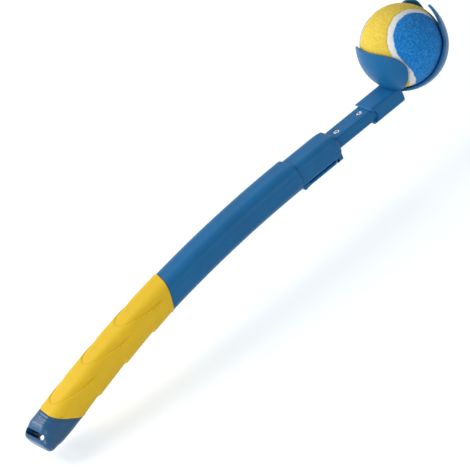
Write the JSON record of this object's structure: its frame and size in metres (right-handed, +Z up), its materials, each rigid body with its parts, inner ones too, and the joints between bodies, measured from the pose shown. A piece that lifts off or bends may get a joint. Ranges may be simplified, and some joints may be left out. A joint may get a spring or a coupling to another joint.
{
  "type": "dog ball launcher stick",
  "caption": "Hand-held ball launcher: curved soft-grip handle, telescoping flat arm with a flip-lever clamp, three-petal claw and a felt ball.",
  "frame": {"origin": "middle of the hand grip, on the handle's middle line", "axes": "+X along the arm to the claw, +Z the side that the claw opens to, +Y to the left of someone looking along +X with +Z up"},
  "size_m": [0.4406, 0.0648, 0.1122],
  "materials": {
    "blue_plastic": "satin moulded",
    "navy_plastic": "satin moulded",
    "soft_grip": "matt soft touch",
    "steel": "bright zinc plate",
    "dark_rubber": "matt",
    "blue_felt": "brushed felt",
    "yellow_felt": "brushed felt",
    "white_seam": "matt"
  },
  "bodies": {
    "handle": {"handle_tube": "blue_plastic", "grip_sleeve": "soft_grip", "end_cap": "navy_plastic", "clamp_collar": "blue_plastic", "guide_bush": "navy_plastic", "brake_pad": "dark_rubber", "pressure_plate": "steel", "lever_pin": "steel"},
    "lever": {"clamp_lever": "blue_plastic"},
    "arm": {"arm_front_shell": "blue_plastic", "arm_back_shell": "blue_plastic", "arm_screws": "steel", "arm_tail_stop": "navy_plastic", "claw_head": "blue_plastic", "button_spring": "steel"},
    "button": {"head_button": "navy_plastic"},
    "ball": {"ball_core": "dark_rubber", "felt_panel_blue": "blue_felt", "felt_panel_yellow": "yellow_felt", "ball_seam": "white_seam"}
  },
  "joints": [
    {"name": "arm_slide", "type": "slide", "parent": "handle", "child": "arm", "axis": [1, 0, 0], "range_m": [0, 0.0855]},
    {"name": "lever_flip", "type": "hinge", "parent": "handle", "child": "lever", "pos_m": [0.22626, 0, 0.0104], "axis": [0, -1, 0], "range_deg": [0, 100]},
    {"name": "button_press", "type": "slide", "parent": "arm", "child": "button", "axis": [0, -1, 0], "range_m": [0, 0.0015], "stiffness_N_per_m": 400, "springref_m": -0.002, "deforming": ["button_spring"]},
    {"name": "ball_release", "type": "slide", "parent": "arm", "child": "ball", "axis": [0.0785, 0, 0.9969], "range_m": [0, 0.08]}
  ]
}
